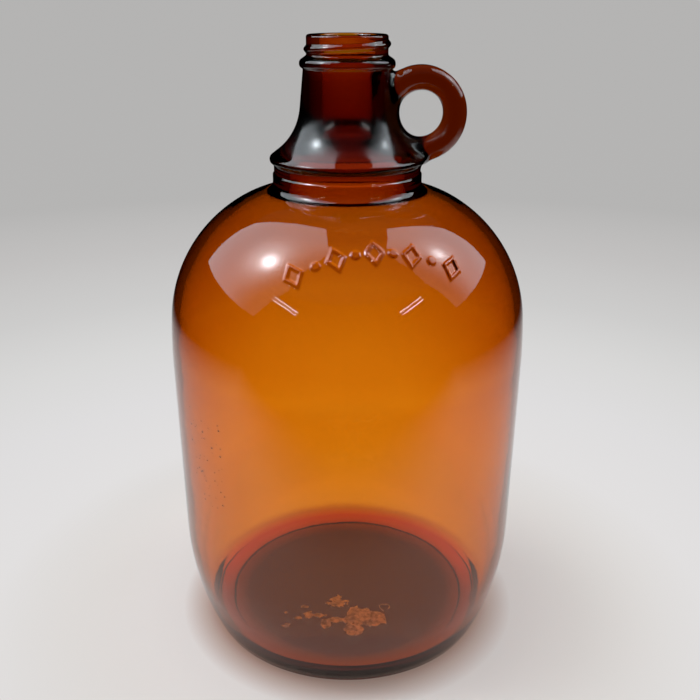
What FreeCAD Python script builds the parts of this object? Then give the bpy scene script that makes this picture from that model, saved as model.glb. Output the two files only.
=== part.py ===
"""One-gallon glass jug with a screw finish and a finger ring, moulded in one piece.

The jug stands on z = 0 with its axis on Z. The finger ring is on the +X side and
the raised band of ornament is on the shoulder, a little to the right of the front (-Y).
Every outline is drawn in the XZ plane, as (radius, height), and turned about Z.
"""
import FreeCAD, Part
import math
import os
from FreeCAD import Vector

# ---- Overall sizes, in millimetres and degrees ---------------------------------
body_diameter = 167.0
total_height = 286.0

# ---- Base ----------------------------------------------------------------------
heel_inset = 10.5            # how far the foot of the wall stands in from the body
heel_height = 3.0            # height of the mould's parting line round the heel
parting_step = 0.25          # the base plate's mould is this much smaller
foot_width = 10.0            # from the parting line in to the edge of the recess
land_width = 5.5             # flat ring that the jug stands on
recess_depth = 1.0           # step up inside the standing ring
push_up = 1.6                # further rise of the recess towards the middle
base_thickness = 5.0
floor_corner = 9.5           # rounding between the inner floor and the wall

# ---- Body and shoulder -----------------------------------------------------------
flank_radius = 143.0         # long curve from the heel up to the straight wall
wall = 3.1                   # side wall
upper_radius = 230.0         # shoulder, in three tangent arcs from the wall up
upper_turn = 5.6
shoulder_radius = 64.8
shoulder_turn = 59.2         # heading at the end of the second arc
crown_radius = 49.8

# ---- Neck: heights are measured down from the lip --------------------------------
neck_foot_depth = 60.0       # where the neck's side begins
neck_foot_fillet = 4.4       # hollow curve from the shoulder into it
collar_diameter = 66.4       # lower ring of the neck
collar_step_depth = 57.0
collar_step = 0.6            # the upper ring is this much smaller in radius
step_rounding = 0.3
ledge_diameter = 68.7
ledge_depth = 50.4           # middle of the ledge's nose
ledge_thickness = 4.4
ledge_rounding = 1.5
flare_corner_diameter = 43.6   # where the neck's side and the flare's slope would meet
flare_corner_depth = 40.2
flare_radius = 25.3          # hollow curve between the two
groove_diameter = 37.9       # narrowest place, just under the bead

# ---- Finish (38 mm screw cap) ------------------------------------------------------
bead_diameter = 41.0
bead_depth = 11.3            # middle of its nose
bead_under = 2.1             # from there down to the groove
bead_over = 3.2              # and up to the finish
bead_rounding = 1.8
finish_diameter = 34.8
finish_bore = 23.6
finish_bore_depth = 12.5     # the wider bore ends under the bead
finish_bore_rounding = 3.0
lip_rounding = 1.0
thread_radius = 1.15         # rounded ridge of the screw thread
thread_end_step = 0.03       # its ball ends are this much smaller
thread_pitch = 4.2
thread_turns = 0.97
thread_start_depth = 6.8     # middle of the ridge at its lower end
thread_start_angle = 95.0    # degrees round from +X

# ---- Bore of the neck, and the wider throat under it ------------------------------------
bore_diameter = 21.8
bore_taper_depth = 18.0      # where the narrow bore starts
bore_taper_rounding = 5.0
bore_foot_depth = 42.9       # where it opens out to the throat
bore_foot_rounding = 2.5
throat_diameter = 51.0
throat_top_depth = 52.5
throat_rounding = 6.0
throat_flare = 6.0           # curve from the throat out to the body's inside

# ---- Finger ring -----------------------------------------------------------------------
ring_hole_diameter = 19.8
ring_thickness = 10.0
ring_width = 14.0            # front to back
ring_gap_from_axis = 21.9    # from the jug's axis to the near edge of the hole
ring_depth = 31.8            # middle of the hole, down from the lip

# ---- Raised band on the shoulder -----------------------------------------------------------
motif_count = 9              # lozenges and studs in turn
motif_pitch = 7.0            # degrees round the jug between neighbours
band_middle = 10.0           # degrees round from the front towards +X
band_turn = 48.3             # heading of the shoulder at the band's middle
band_arch = 9.5              # the ends of the band lie this many degrees lower
motif_relief = 0.7
lozenge_height = 12.0
lozenge_width = 8.6
lozenge_stroke = 1.4
stud_diameter = 3.8

UP = Vector(0, 0, 1)
side_share = 0.98            # most of a side that its two roundings may take together
body_radius = body_diameter / 2
heel_radius = body_radius - heel_inset
recess_radius = heel_radius - foot_width
neck_foot = total_height - neck_foot_depth
collar_radius = collar_diameter / 2
bore_radius = bore_diameter / 2
throat_radius = throat_diameter / 2


def cos(degrees):
    return math.cos(math.radians(degrees))


def sin(degrees):
    return math.sin(math.radians(degrees))


def at(radius, height):
    """A point of an outline."""
    return Vector(radius, 0, height)


def line(start, end):
    return Part.makeLine(start, end)


def arc_about(centre, radius, start, end):
    """Arc in the outline's plane, between two angles measured up from outwards."""
    points = [centre + at(radius * cos(a), radius * sin(a)) for a in (start, (start + end) / 2, end)]
    return Part.Arc(*points).toShape()


def rounded(corners):
    """Edges through a list of corners (radius, height, rounding); the ends stay sharp.

    Two roundings that would run into each other on a side are both made smaller.
    """
    places = [at(*corner[:2]) for corner in corners]
    halves = [(back - here).getAngle(ahead - here) / 2
              for back, here, ahead in zip(places, places[1:], places[2:])]
    cuts = [0] + [corner[2] / math.tan(half) for corner, half in zip(corners[1:], halves)] + [0]
    crowding = [max(1, (cuts[i] + cuts[i + 1]) / (side_share * places[i].distanceToPoint(places[i + 1])))
                for i in range(len(cuts) - 1)]
    edges, pen = [], places[0]
    for i, half in enumerate(halves, 1):
        here = places[i]
        back, ahead = (places[i - 1] - here).normalize(), (places[i + 1] - here).normalize()
        cut = cuts[i] / max(crowding[i - 1], crowding[i])
        bulge = cut * math.tan(half) * (1 / math.sin(half) - 1)
        first, last = here + back * cut, here + ahead * cut
        middle = here + (back + ahead).normalize() * bulge
        edges += [line(pen, first), Part.Arc(first, middle, last).toShape()]
        pen = last
    return edges + [line(pen, places[-1])]


def turned(edges):
    """Solid of revolution about Z inside a closed run of edges."""
    return Part.Face(Part.Wire(edges)).revolve(Vector(0, 0, 0), UP, 360)


# ---- Shoulder: its arcs are placed so that the last one runs into the fillet at the neck ----
upper_centre_r = body_radius - upper_radius
shoulder_centre_r = upper_centre_r + (upper_radius - shoulder_radius) * cos(upper_turn)
crown_centre_r = shoulder_centre_r + (shoulder_radius - crown_radius) * cos(shoulder_turn)
crown_turn = math.degrees(math.acos((collar_radius + neck_foot_fillet - crown_centre_r)
                                    / (crown_radius + neck_foot_fillet)))
crown_centre_z = neck_foot - (crown_radius + neck_foot_fillet) * sin(crown_turn)
shoulder_centre_z = crown_centre_z - (shoulder_radius - crown_radius) * sin(shoulder_turn)
wall_top = shoulder_centre_z - (upper_radius - shoulder_radius) * sin(upper_turn)

flank_turn = math.degrees(math.acos(1 - heel_inset / flank_radius))
wall_foot = heel_height + flank_radius * sin(flank_turn)


def shoulder_arcs(offset, last_turn):
    """Shoulder from the straight wall up, moved outwards by an offset."""
    return [
        arc_about(at(upper_centre_r, wall_top), upper_radius + offset, 0, upper_turn),
        arc_about(at(shoulder_centre_r, shoulder_centre_z), shoulder_radius + offset,
                  upper_turn, shoulder_turn),
        arc_about(at(crown_centre_r, crown_centre_z), crown_radius + offset,
                  shoulder_turn, last_turn)]


def shoulder_point(turn):
    """Place on the outer shoulder where its outward normal is raised by an angle."""
    if turn < shoulder_turn:
        return at(shoulder_centre_r + shoulder_radius * cos(turn),
                  shoulder_centre_z + shoulder_radius * sin(turn))
    return at(crown_centre_r + crown_radius * cos(turn), crown_centre_z + crown_radius * sin(turn))


def base_edges():
    """Underside: recess, standing ring, heel and the parting line."""
    land_out = heel_radius - parting_step - (foot_width - land_width - recess_depth)
    heel_run = heel_radius - parting_step - land_out
    heel_arc = (heel_run ** 2 + heel_height ** 2) / (2 * heel_height)
    heel_centre = at(land_out, heel_arc)
    heel_end = math.degrees(math.asin((heel_height - heel_arc) / heel_arc))
    dome_edge = at(recess_radius - recess_depth, recess_depth)
    dome_top = at(0, recess_depth + push_up)
    dome_middle = at(dome_edge.x / 2, recess_depth + push_up * 0.75)
    return [
        Part.Arc(dome_top, dome_middle, dome_edge).toShape(),
        line(dome_edge, at(recess_radius, 0)),
        line(at(recess_radius, 0), at(land_out, 0)),
        arc_about(heel_centre, heel_arc, -90, heel_end),
        line(at(heel_radius - parting_step, heel_height), at(heel_radius, heel_height))]


def bore_corners():
    """Inside of the finish and neck, from under the lip down to the throat's flare."""
    return [(finish_bore / 2, total_height - finish_bore_depth, finish_bore_rounding),
            (bore_radius, total_height - bore_taper_depth, bore_taper_rounding),
            (bore_radius, total_height - bore_foot_depth, bore_foot_rounding),
            (throat_radius, total_height - throat_top_depth, throat_rounding),
            (throat_radius, throat_foot, 0)]


def neck_edges():
    """Outside of the neck and finish, over the lip and down the bore to the throat's flare."""
    step_r = collar_radius - collar_step
    step_z = total_height - collar_step_depth
    ledge_z = total_height - ledge_depth
    ledge_r = ledge_diameter / 2
    bead_z = total_height - bead_depth
    bead_r = bead_diameter / 2
    finish_r = finish_diameter / 2
    fillet = arc_about(at(collar_radius + neck_foot_fillet, neck_foot), neck_foot_fillet,
                       180 + crown_turn, 180)
    return [fillet] + rounded([
        (collar_radius, neck_foot, 0),
        (collar_radius, step_z, step_rounding),
        (step_r, step_z + collar_step, step_rounding),
        (step_r, ledge_z - ledge_thickness / 2, ledge_rounding),
        (ledge_r, ledge_z - ledge_thickness / 4, ledge_rounding),
        (ledge_r, ledge_z + ledge_thickness / 6, ledge_rounding),
        (flare_corner_diameter / 2, total_height - flare_corner_depth, flare_radius),
        (groove_diameter / 2, bead_z - bead_under, step_rounding),
        (bead_r, bead_z - bead_under * 0.7, bead_rounding),
        (bead_r, bead_z + bead_over * 0.35, bead_rounding),
        (finish_r, bead_z + bead_over, lip_rounding),
        (finish_r, total_height, lip_rounding),
        (finish_bore / 2, total_height, lip_rounding)] + bore_corners())


# ---- Inside: the wall's curves moved in, a flare at the top and a rounded floor ----------
inner_crown = crown_radius - wall
flare_turn = math.degrees(math.acos(
    (throat_radius + throat_flare - crown_centre_r) / (inner_crown + throat_flare)))
throat_foot = crown_centre_z + (inner_crown + throat_flare) * sin(flare_turn)

floor_z = recess_depth + push_up + base_thickness
inner_flank = flank_radius - wall
flank_centre = at(body_radius - flank_radius, wall_foot)
corner_z = floor_z + floor_corner
corner_turn = math.degrees(math.asin((corner_z - wall_foot) / (inner_flank - floor_corner)))
corner_r = flank_centre.x + (inner_flank - floor_corner) * cos(corner_turn)


def inside_edges():
    """Inside of the body, from the foot of the throat down to the middle of the floor."""
    flare_centre = at(throat_radius + throat_flare, throat_foot)
    wall_in = body_radius - wall
    return [
        arc_about(flare_centre, throat_flare, 180, 180 + flare_turn),
        *reversed(shoulder_arcs(-wall, flare_turn)),
        line(at(wall_in, wall_top), at(wall_in, wall_foot)),
        arc_about(flank_centre, inner_flank, 0, corner_turn),
        arc_about(at(corner_r, corner_z), floor_corner, corner_turn, -90),
        line(at(corner_r, floor_z), at(0, floor_z))]


def glass_body():
    """The turned jug: base, wall, shoulder, neck, finish and the hollow inside."""
    flank = arc_about(flank_centre, flank_radius, -flank_turn, 0)
    side = line(at(body_radius, wall_foot), at(body_radius, wall_top))
    axis = line(at(0, floor_z), at(0, recess_depth + push_up))
    return turned(base_edges() + [flank, side] + shoulder_arcs(0, crown_turn)
                  + neck_edges() + inside_edges() + [axis])


def hollow():
    """Everything inside the neck, to keep the ring and the thread out of it."""
    top = total_height + 1
    return turned(rounded([(finish_bore / 2, top, 0)] + bore_corners())
                  + [line(at(throat_radius, throat_foot), at(0, throat_foot)),
                     line(at(0, throat_foot), at(0, top)),
                     line(at(0, top), at(finish_bore / 2, top))])


def screw_thread():
    """One rounded ridge round the finish, with a ball at each end."""
    radius = finish_diameter / 2
    start = total_height - thread_start_depth
    rise = thread_pitch * thread_turns
    helix = Part.makeHelix(thread_pitch, rise, radius)
    slope = math.atan2(thread_pitch, 2 * math.pi * radius)
    along = Vector(0, math.cos(slope), math.sin(slope))
    section = Part.Wire(Part.makeCircle(thread_radius, Vector(radius, 0, 0), along))
    ridge = Part.Wire(helix.Edges).makePipeShell([section], True, True)
    turn = 360 * thread_turns
    ends = [Vector(radius, 0, 0), Vector(radius * cos(turn), radius * sin(turn), rise)]
    pieces = [ridge] + [Part.makeSphere(thread_radius - thread_end_step, end) for end in ends]
    for piece in pieces:
        piece.rotate(Vector(0, 0, 0), UP, thread_start_angle)
        piece.translate(UP * start)
    return pieces


def finger_ring():
    """Ring of oval section beside the neck, its hole running front to back."""
    hole_radius = ring_hole_diameter / 2
    centre = at(ring_gap_from_axis + hole_radius, total_height - ring_depth)
    middle = centre + at(hole_radius + ring_thickness / 2, 0)
    out = at(ring_thickness / 2, 0)
    back = Vector(0, (ring_width - ring_thickness) / 2, 0)
    tip = Vector(0, ring_width / 2, 0)
    section = [line(middle + out - back, middle + out + back),
               Part.Arc(middle + out + back, middle + tip, middle - out + back).toShape(),
               line(middle - out + back, middle - out - back),
               Part.Arc(middle - out - back, middle - tip, middle + out - back).toShape()]
    return Part.Face(Part.Wire(section)).revolve(centre, Vector(0, 1, 0), 360)


def prism(points, height):
    """Upright prism about z = 0 over a closed run of points."""
    face = Part.Face(Part.makePolygon(points + points[:1]))
    face.translate(UP * (-height / 2))
    return face.extrude(UP * height)


def lozenge(width, height, depth):
    across, along = Vector(width / 2, 0, 0), Vector(0, height / 2, 0)
    return prism([across, along, -across, -along], depth)


def motif(index, depth):
    """Lozenge outline or round stud, lying flat, in turn along the band."""
    if index % 2:
        return Part.makeCylinder(stud_diameter / 2, depth, Vector(0, 0, -depth / 2))
    slant = math.hypot(lozenge_width, lozenge_height)
    shrink = 1 - 2 * lozenge_stroke * slant / (lozenge_width * lozenge_height)
    outline = lozenge(lozenge_width, lozenge_height, depth)
    return outline.cut(lozenge(lozenge_width * shrink, lozenge_height * shrink, depth + 1))


def raised_band():
    """Arched row of motifs, cut to an even height above the curved shoulder."""
    top = at(crown_centre_r, crown_centre_z) + at(cos(crown_turn), sin(crown_turn)) * (
        crown_radius + motif_relief)
    skin = turned([line(at(0, wall_top), at(body_radius + motif_relief, wall_top))]
                  + shoulder_arcs(motif_relief, crown_turn)
                  + [line(top, at(0, top.z)), line(at(0, top.z), at(0, wall_top))])
    half_count = (motif_count - 1) / 2
    pieces = []
    for index in range(motif_count):
        step = (index - half_count) / half_count
        around = band_middle + (index - half_count) * motif_pitch
        turn = band_turn - band_arch * step ** 2
        place = shoulder_point(turn)
        climb = -2 * band_arch * step * shoulder_radius / (half_count * motif_pitch * place.x)
        piece = motif(index, 4 * motif_relief + 2)
        piece.rotate(Vector(0, 0, 0), UP, math.degrees(math.atan(climb)))
        piece.rotate(Vector(0, 0, 0), Vector(1, 0, 0), 90 - turn)
        piece.translate(Vector(0, -place.x, place.z))
        piece.rotate(Vector(0, 0, 0), UP, around)
        pieces.append(piece.common(skin))
    return pieces


def build():
    ring = finger_ring().cut(hollow())
    thread = [piece.cut(hollow()) for piece in screw_thread()]
    jug = glass_body().fuse([ring] + thread + raised_band())
    return jug.Solids[0] if len(jug.Solids) == 1 else jug


if __name__ == "__main__":
    os.makedirs("parts", exist_ok=True)
    jug = build()
    print("jug valid", jug.isValid(), "solids", len(jug.Solids), "litres of glass", jug.Volume / 1e6)
    jug.exportStep("parts/jug.step")
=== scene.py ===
"""Amber one-gallon glass jug, laid out as an add-on: each operator makes one piece."""
import math

import bmesh
import bpy
import numpy as np
from bpy.props import FloatProperty, FloatVectorProperty, IntProperty, PointerProperty
from mathutils import Euler, Matrix, Vector, noise


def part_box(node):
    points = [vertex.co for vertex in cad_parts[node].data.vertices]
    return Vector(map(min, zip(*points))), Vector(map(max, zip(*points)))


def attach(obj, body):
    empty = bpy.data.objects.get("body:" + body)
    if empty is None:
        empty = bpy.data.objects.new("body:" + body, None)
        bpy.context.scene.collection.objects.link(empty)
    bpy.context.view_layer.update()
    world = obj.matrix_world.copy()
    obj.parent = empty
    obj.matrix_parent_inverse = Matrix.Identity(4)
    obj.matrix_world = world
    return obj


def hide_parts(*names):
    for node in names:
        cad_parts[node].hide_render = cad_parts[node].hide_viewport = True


bl_info = {
    "name": "Amber Glass Jug",
    "version": (1, 0, 0),
    "blender": (4, 5, 0),
    "location": "View3D > Sidebar > Jug",
    "description": "Makes an empty amber jug with a finger ring, and a pale studio round it",
    "category": "Add Mesh",
}

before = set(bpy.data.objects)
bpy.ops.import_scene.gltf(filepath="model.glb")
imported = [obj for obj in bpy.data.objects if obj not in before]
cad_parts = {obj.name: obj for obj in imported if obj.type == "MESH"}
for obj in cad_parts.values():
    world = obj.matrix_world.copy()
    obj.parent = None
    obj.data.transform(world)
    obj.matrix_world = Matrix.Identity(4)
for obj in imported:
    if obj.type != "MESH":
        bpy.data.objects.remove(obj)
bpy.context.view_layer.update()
LOW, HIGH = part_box("jug")
TOP = HIGH.z
BODY_RADIUS = (HIGH.x - LOW.x) / 2
MM = 0.001


# ---- Settings that a user would change -------------------------------------------------

class JugShape(bpy.types.PropertyGroup):
    """Sizes of the glass."""
    wall: FloatProperty(name="Wall", description="Thickness of the side wall",
                        default=3.1 * MM, unit="LENGTH")
    unevenness: FloatProperty(name="Unevenness", description="How far the inside wanders from true",
                              default=0.28 * MM, unit="LENGTH")
    columns: IntProperty(name="Columns", description="Faces round the jug", default=192, min=48)
    root_fillet: FloatProperty(name="Ring fillet", description="Blend where the ring meets the neck",
                               default=4.2 * MM, unit="LENGTH")


class JugBand(bpy.types.PropertyGroup):
    """Raised row of lozenges and studs on the shoulder."""
    count: IntProperty(name="Count", description="Lozenges and studs together", default=9)
    pitch: FloatProperty(name="Pitch", description="Angle between neighbours",
                         default=math.radians(7.0), subtype="ANGLE")
    middle: FloatProperty(name="Middle", description="Where the row's middle stands, from the front",
                          default=math.radians(10.0), subtype="ANGLE")
    relief: FloatProperty(name="Relief", description="Height above the glass",
                          default=0.7 * MM, unit="LENGTH")


class JugThread(bpy.types.PropertyGroup):
    """Screw thread of the finish."""
    pitch: FloatProperty(name="Pitch", description="Rise in one turn",
                         default=4.2 * MM, unit="LENGTH")
    turns: FloatProperty(name="Turns", description="Turns of the ridge", default=0.97)
    height: FloatProperty(name="Height", description="Height of the ridge",
                          default=1.1 * MM, unit="LENGTH")


class JugGlass(bpy.types.PropertyGroup):
    """Colour of the glass."""
    tint: FloatVectorProperty(name="Tint", description="What a thin layer lets through",
                              default=(0.8505, 0.648, 0.032), subtype="COLOR", min=0, max=1)
    density: FloatProperty(name="Density", description="Strength of the tint for each metre",
                           default=930.0, min=0)


class JugResidue(bpy.types.PropertyGroup):
    """Dried drink on the inside of the floor."""
    colour: FloatVectorProperty(name="Colour", description="Colour of the dried drink",
                                default=(0.86, 0.70, 0.45), subtype="COLOR", min=0, max=1)
    thickness: FloatProperty(name="Thickness", description="Thickest place",
                             default=0.7 * MM, unit="LENGTH")


class JugStudio(bpy.types.PropertyGroup):
    """Floor, backdrop, lamps and camera."""
    backlight: FloatProperty(name="Backlight", description="Paper seen through walls; 1 is plain",
                             default=2.5, min=0)
    lamp_strength: FloatProperty(name="Lamps", description="Brightness of the two soft boxes",
                                 default=2.5, min=0)
    world_strength: FloatProperty(name="Room", description="Brightness of the room round the table",
                                  default=0.35, min=0)


# ---- Outline of the glass: the same curves as the solid, sampled ------------------------

def cos(degrees):
    return math.cos(math.radians(degrees))


def sin(degrees):
    return math.sin(math.radians(degrees))


def arc(centre, radius, start, end, spacing):
    """Points along an arc, its angles measured up from outwards."""
    count = max(2, math.ceil(abs(math.radians(end - start)) * radius / spacing))
    angles = [start + (end - start) * i / count for i in range(count + 1)]
    return [(centre[0] + radius * cos(a), centre[1] + radius * sin(a)) for a in angles]


def straight(start, end, spacing):
    """Points along a straight run."""
    count = max(1, math.ceil(math.dist(start, end) / spacing))
    return [(start[0] + (end[0] - start[0]) * i / count, start[1] + (end[1] - start[1]) * i / count)
            for i in range(count + 1)]


def rounded(corners, spacing):
    """Points through corners (radius, height, rounding); the ends stay sharp."""
    places = [Vector(corner[:2]) for corner in corners]
    halves = [(back - here).angle(ahead - here) / 2
              for back, here, ahead in zip(places, places[1:], places[2:])]
    cuts = [0] + [corner[2] / math.tan(half) for corner, half in zip(corners[1:], halves)] + [0]
    crowding = [max(1, (cuts[i] + cuts[i + 1]) / (0.98 * (places[i + 1] - places[i]).length))
                for i in range(len(cuts) - 1)]
    points, pen = [], places[0]
    for i, half in enumerate(halves, 1):
        here = places[i]
        back, ahead = (places[i - 1] - here).normalized(), (places[i + 1] - here).normalized()
        cut = cuts[i] / max(crowding[i - 1], crowding[i])
        radius = cut * math.tan(half)
        centre = here + (back + ahead).normalized() * (radius / math.sin(half))
        first, last = here + back * cut, here + ahead * cut
        start = math.degrees(math.atan2(*reversed(first - centre)))
        sweep = (math.degrees(math.atan2(*reversed(last - centre))) - start + 180) % 360 - 180
        points += straight(pen, first, spacing)
        points += arc(centre, radius, start, start + sweep, min(spacing, max(radius / 4, 0.25 * MM)))
        pen = last
    return points + straight(pen, places[-1], spacing)


class Outline:
    """Radius and height all round the glass, from the middle of the base back to it."""
    heel_inset, heel_height, parting_step = 10.5 * MM, 3.0 * MM, 0.25 * MM
    foot_width, land_width, recess_depth, push_up = 10.0 * MM, 5.5 * MM, 1.0 * MM, 1.6 * MM
    base, floor_corner = 5.0 * MM, 9.5 * MM
    flank_radius, upper_radius, upper_turn = 143.0 * MM, 230.0 * MM, 5.6
    shoulder_radius, shoulder_turn, crown_radius = 64.8 * MM, 59.2, 49.8 * MM
    neck_foot, foot_fillet, collar, collar_step = TOP - 60.0 * MM, 4.4 * MM, 33.2 * MM, 0.6 * MM
    collar_step_z = TOP - 57.0 * MM
    ledge, ledge_z, ledge_thickness = 34.35 * MM, TOP - 50.4 * MM, 4.4 * MM
    flare_corner, flare_z, flare_radius = 21.8 * MM, TOP - 40.2 * MM, 25.3 * MM
    groove, bead, bead_z = 18.95 * MM, 20.5 * MM, TOP - 11.3 * MM
    bead_under, bead_over = 2.1 * MM, 3.2 * MM
    finish, finish_bore, finish_bore_z = 17.4 * MM, 11.8 * MM, TOP - 12.5 * MM
    bore, bore_taper_z, bore_foot = 10.9 * MM, TOP - 18.0 * MM, TOP - 42.9 * MM
    throat, throat_top, throat_flare = 25.5 * MM, TOP - 52.5 * MM, 6.0 * MM

    def __init__(self, wall):
        self.wall = wall
        heel = BODY_RADIUS - self.heel_inset
        self.heel = heel
        self.upper_r = BODY_RADIUS - self.upper_radius
        upper_step = self.upper_radius - self.shoulder_radius
        shoulder_step = self.shoulder_radius - self.crown_radius
        self.shoulder_r = self.upper_r + upper_step * cos(self.upper_turn)
        self.crown_r = self.shoulder_r + shoulder_step * cos(self.shoulder_turn)
        reach = self.crown_radius + self.foot_fillet
        fillet_r = self.collar + self.foot_fillet
        self.crown_turn = math.degrees(math.acos((fillet_r - self.crown_r) / reach))
        self.crown_z = self.neck_foot - reach * sin(self.crown_turn)
        self.shoulder_z = self.crown_z - shoulder_step * sin(self.shoulder_turn)
        self.wall_top = self.shoulder_z - upper_step * sin(self.upper_turn)
        self.flank_turn = math.degrees(math.acos(1 - self.heel_inset / self.flank_radius))
        self.wall_foot = self.heel_height + self.flank_radius * sin(self.flank_turn)
        self.floor_z = self.recess_depth + self.push_up + self.base
        inner_crown = self.crown_radius - wall
        reach = inner_crown + self.throat_flare
        flare_r = self.throat + self.throat_flare
        self.flare_turn = math.degrees(math.acos((flare_r - self.crown_r) / reach))
        self.throat_foot = self.crown_z + reach * sin(self.flare_turn)

    def shoulder(self, offset, last_turn, spacing):
        """The three arcs from the wall up, moved outwards by an offset."""
        return (arc((self.upper_r, self.wall_top), self.upper_radius + offset, 0, self.upper_turn,
                    2.5 * spacing)
                + arc((self.shoulder_r, self.shoulder_z), self.shoulder_radius + offset,
                      self.upper_turn, self.shoulder_turn, spacing)
                + arc((self.crown_r, self.crown_z), self.crown_radius + offset,
                      self.shoulder_turn, last_turn, spacing))

    def underside(self):
        heel_r = self.heel - self.parting_step
        land_out = heel_r - (self.foot_width - self.land_width - self.recess_depth)
        run = heel_r - land_out
        heel_arc = (run ** 2 + self.heel_height ** 2) / (2 * self.heel_height)
        heel_end = math.degrees(math.asin((self.heel_height - heel_arc) / heel_arc))
        recess = self.heel - self.foot_width
        edge = recess - self.recess_depth
        dome = [(edge * i / 8, self.recess_depth + self.push_up * (1 - (i / 8) ** 2))
                for i in range(8)]
        return (dome + rounded([(*dome[-1], 0), (edge, self.recess_depth, 1.5 * MM),
                                (recess, 0, 0.8 * MM), (land_out, 0, 0)], 2.5 * MM)
                + arc((land_out, heel_arc), heel_arc, -90, heel_end, 0.9 * MM)
                + [(self.heel - 0.05 * MM, self.heel_height + 0.15 * MM)])

    def outside(self):
        flank = arc((BODY_RADIUS - self.flank_radius, self.wall_foot), self.flank_radius,
                    -self.flank_turn + 0.15, 0, 3.5 * MM)
        side = straight((BODY_RADIUS, self.wall_foot), (BODY_RADIUS, self.wall_top), 7 * MM)
        fillet = arc((self.collar + self.foot_fillet, self.neck_foot), self.foot_fillet,
                     180 + self.crown_turn, 180, 0.7 * MM)
        neck = rounded([
            (self.collar, self.neck_foot, 0),
            (self.collar, self.collar_step_z, 0.5 * MM),
            (self.collar - self.collar_step, self.collar_step_z + self.collar_step, 0.5 * MM),
            (self.collar - self.collar_step, self.ledge_z - self.ledge_thickness / 2, 1.5 * MM),
            (self.ledge, self.ledge_z - self.ledge_thickness / 4, 1.5 * MM),
            (self.ledge, self.ledge_z + self.ledge_thickness / 6, 1.5 * MM),
            (self.flare_corner, self.flare_z, self.flare_radius),
            (self.groove, self.bead_z - self.bead_under, 0.5 * MM),
            (self.bead, self.bead_z - self.bead_under * 0.7, 1.8 * MM),
            (self.bead, self.bead_z + self.bead_over * 0.35, 1.8 * MM),
            (self.finish, self.bead_z + self.bead_over, 1.0 * MM),
            (self.finish, self.bead_z + self.bead_over + 1.0 * MM, 0)], 1.3 * MM)
        finish = straight(neck[-1], (self.finish, TOP - 1.2 * MM), 0.3 * MM)
        lip = rounded([(*finish[-1], 0), (self.finish, TOP, 1.1 * MM),
                       (self.finish_bore, TOP, 1.1 * MM),
                       (self.finish_bore, TOP - 2.0 * MM, 0)], 0.6 * MM)
        shoulder = self.shoulder(0, self.crown_turn, 2.0 * MM)
        return flank + side + shoulder + fillet + neck + finish + lip

    def inside(self):
        bore = rounded([
            (self.finish_bore, TOP - 2.0 * MM, 0), (self.finish_bore, self.finish_bore_z, 3.0 * MM),
            (self.bore, self.bore_taper_z, 5.0 * MM), (self.bore, self.bore_foot, 2.5 * MM),
            (self.throat, self.throat_top, 6.0 * MM), (self.throat, self.throat_foot, 0)], 2.0 * MM)
        flare = arc((self.throat + self.throat_flare, self.throat_foot), self.throat_flare,
                    180, 180 + self.flare_turn, 1.0 * MM)
        inner_flank = self.flank_radius - self.wall
        centre = (BODY_RADIUS - self.flank_radius, self.wall_foot)
        corner_z = self.floor_z + self.floor_corner
        turn = math.degrees(math.asin((corner_z - self.wall_foot)
                                      / (inner_flank - self.floor_corner)))
        corner_r = centre[0] + (inner_flank - self.floor_corner) * cos(turn)
        inner_wall = BODY_RADIUS - self.wall
        return (bore + flare + self.shoulder(-self.wall, self.flare_turn, 3.0 * MM)[::-1]
                + straight((inner_wall, self.wall_top), (inner_wall, self.wall_foot), 6.5 * MM)
                + arc(centre, inner_flank, 0, turn, 3.5 * MM)
                + arc((corner_r, corner_z), self.floor_corner, turn, -90, 1.8 * MM)
                + straight((corner_r, self.floor_z), (0.0, self.floor_z), 7 * MM))

    def points(self):
        """All stretches in one run, with doubles left out."""
        run = []
        for point in self.underside() + self.outside() + self.inside():
            if not run or math.dist(run[-1], point) > 0.02 * MM:
                run.append(point)
        return np.array(run)


# ---- Mesh helpers ------------------------------------------------------------------------

def new_object(name, mesh):
    thing = bpy.data.objects.new(name, mesh)
    bpy.context.scene.collection.objects.link(thing)
    return thing


def spun(name, points, columns):
    """Closed mesh turned about Z from an outline that starts and ends on the axis."""
    rows = points[1:-1]
    angles = np.arange(columns) * 2 * math.pi / columns + math.pi / 2
    ring = np.stack([np.cos(angles), np.sin(angles)], 1)
    places = [(0, 0, points[0][1]), (0, 0, points[-1][1])]
    for radius, height in rows:
        places += [(radius * c, radius * s, height) for c, s in ring]
    faces = []
    for column in range(columns):
        after = (column + 1) % columns
        faces.append((0, 2 + after, 2 + column))
        last = 2 + (len(rows) - 1) * columns
        faces.append((1, last + column, last + after))
        for row in range(len(rows) - 1):
            low, high = 2 + row * columns, 2 + (row + 1) * columns
            faces.append((low + column, low + after, high + after, high + column))
    mesh = bpy.data.meshes.new(name)
    mesh.from_pydata(places, [], faces)
    mesh.update()
    return mesh


def coordinates(mesh):
    flat = np.empty(len(mesh.vertices) * 3)
    mesh.vertices.foreach_get("co", flat)
    return flat.reshape(-1, 3)


def set_coordinates(mesh, places):
    mesh.vertices.foreach_set("co", places.ravel())
    mesh.update()


def written(shape, mesh):
    """Puts a working shape back in a mesh."""
    shape.to_mesh(mesh)
    shape.free()
    return mesh


def refine(mesh, wanted, cuts):
    """Cuts up the faces whose middle is wanted."""
    shape = bmesh.new()
    shape.from_mesh(mesh)
    faces = [face for face in shape.faces if wanted(face.calc_center_median())]
    edges = list({edge for face in faces for edge in face.edges})
    bmesh.ops.subdivide_edges(shape, edges=edges, cuts=cuts, use_grid_fill=True)
    written(shape, mesh)


CHUNK = 2000        # points measured at once, to keep the arrays small


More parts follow.
